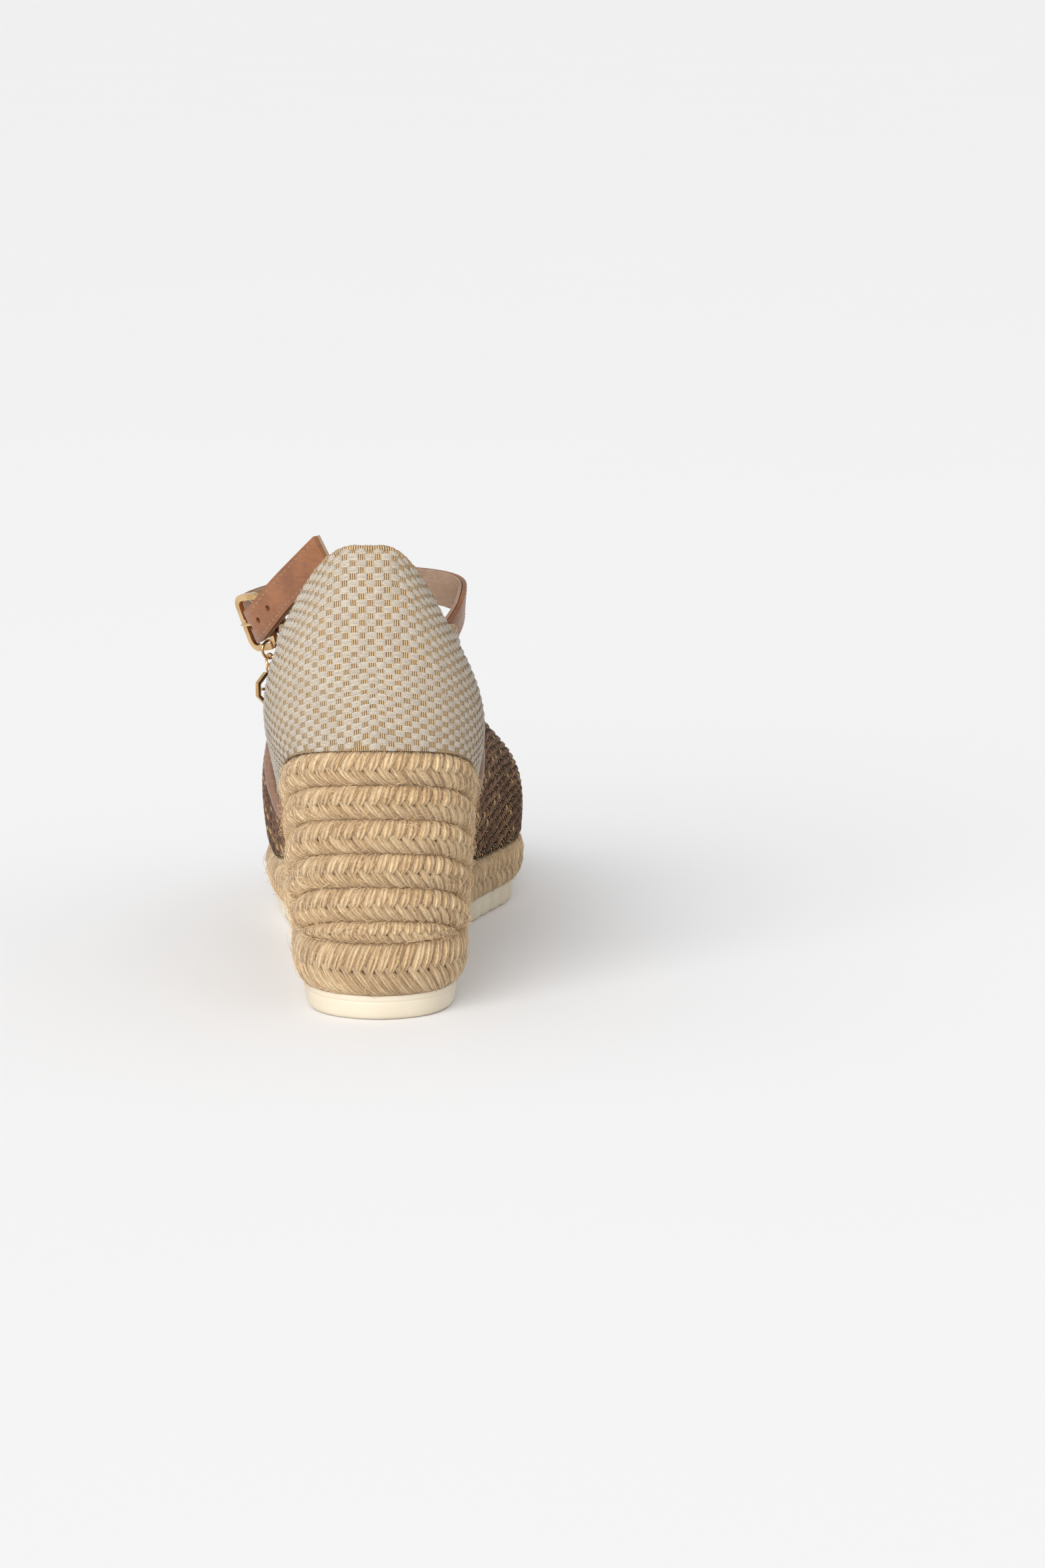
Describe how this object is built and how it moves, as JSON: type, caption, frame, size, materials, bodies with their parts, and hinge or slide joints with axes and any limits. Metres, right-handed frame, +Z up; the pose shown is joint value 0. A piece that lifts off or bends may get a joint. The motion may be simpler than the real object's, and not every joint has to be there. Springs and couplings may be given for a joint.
{
  "type": "wedge sandal",
  "caption": "Left-foot platform wedge sandal wrapped in plaited jute, with a canvas heel, a woven open-toe vamp and a buckled ankle strap with a hanging charm.",
  "frame": {"origin": "on the floor, at the middle of the object's footprint", "axes": "+Z up, +Y from the heel to the toe, +X towards the medial (inner) side of this left-foot sandal"},
  "size_m": [0.1002, 0.2404, 0.163],
  "materials": {
    "outsole_rubber": "smooth cream rubber",
    "core": "pressed cork",
    "jute": "plaited hairy jute rope",
    "board": "pressed fibre board",
    "foam": "cushion foam",
    "sock_leather": "smooth lining leather",
    "canvas": "two-tone basket-weave canvas",
    "lining_cloth": "striped cotton twill",
    "woven_leather": "woven leather strips with metallic thread",
    "binding_leather": "soft rolled leather",
    "strap_leather": "smooth stitched leather",
    "gilt_metal": "polished pale gilt"
  },
  "bodies": {
    "sole": {"outsole": "outsole_rubber", "wedge_core": "core", "jute_base_row": "jute", "jute_row_1": "jute", "jute_row_2": "jute", "jute_row_3": "jute", "jute_row_4": "jute", "jute_row_5": "jute", "jute_row_6": "jute", "insole_board": "board", "footbed_foam": "foam", "insole_sock": "sock_leather", "heel_canvas": "canvas", "heel_stiffener": "board", "heel_lining": "lining_cloth", "vamp_woven": "woven_leather", "vamp_lining": "lining_cloth", "throat_binding": "binding_leather", "toe_binding": "binding_leather"},
    "strap": {"ankle_strap": "strap_leather", "strap_lining": "strap_leather", "buckle_tab": "strap_leather", "buckle_frame": "gilt_metal"},
    "prong": {"buckle_prong": "gilt_metal"},
    "upper_ring": {"jump_ring": "gilt_metal"},
    "lower_ring": {"link_ring": "gilt_metal"},
    "pendant": {"charm": "gilt_metal"}
  },
  "joints": [
    {"name": "strap_tilt", "type": "hinge", "parent": "sole", "child": "strap", "pos_m": [0, -0.0662, 0.117], "axis": [1, 0, 0], "range_deg": [-12, 4], "stiffness_Nm_per_rad": 0.15},
    {"name": "prong_lift", "type": "hinge", "parent": "strap", "child": "prong", "pos_m": [-0.03805, -0.0472, 0.1266], "axis": [0.33, 0, -0.944], "range_deg": [-8, 0]},
    {"name": "upper_ring_swing", "type": "hinge", "parent": "strap", "child": "upper_ring", "pos_m": [-0.03763, -0.04385, 0.11679], "axis": [-0.6251, 0.7806, 0], "range_deg": [-30, 30]},
    {"name": "lower_ring_swing", "type": "hinge", "parent": "upper_ring", "child": "lower_ring", "pos_m": [-0.03763, -0.04385, 0.11266], "axis": [-0.7806, -0.6251, 0], "range_deg": [-35, 24]},
    {"name": "charm_swing", "type": "hinge", "parent": "lower_ring", "child": "pendant", "pos_m": [-0.03763, -0.04385, 0.10941], "axis": [-0.6251, 0.7806, 0], "range_deg": [-35, 35]}
  ]
}
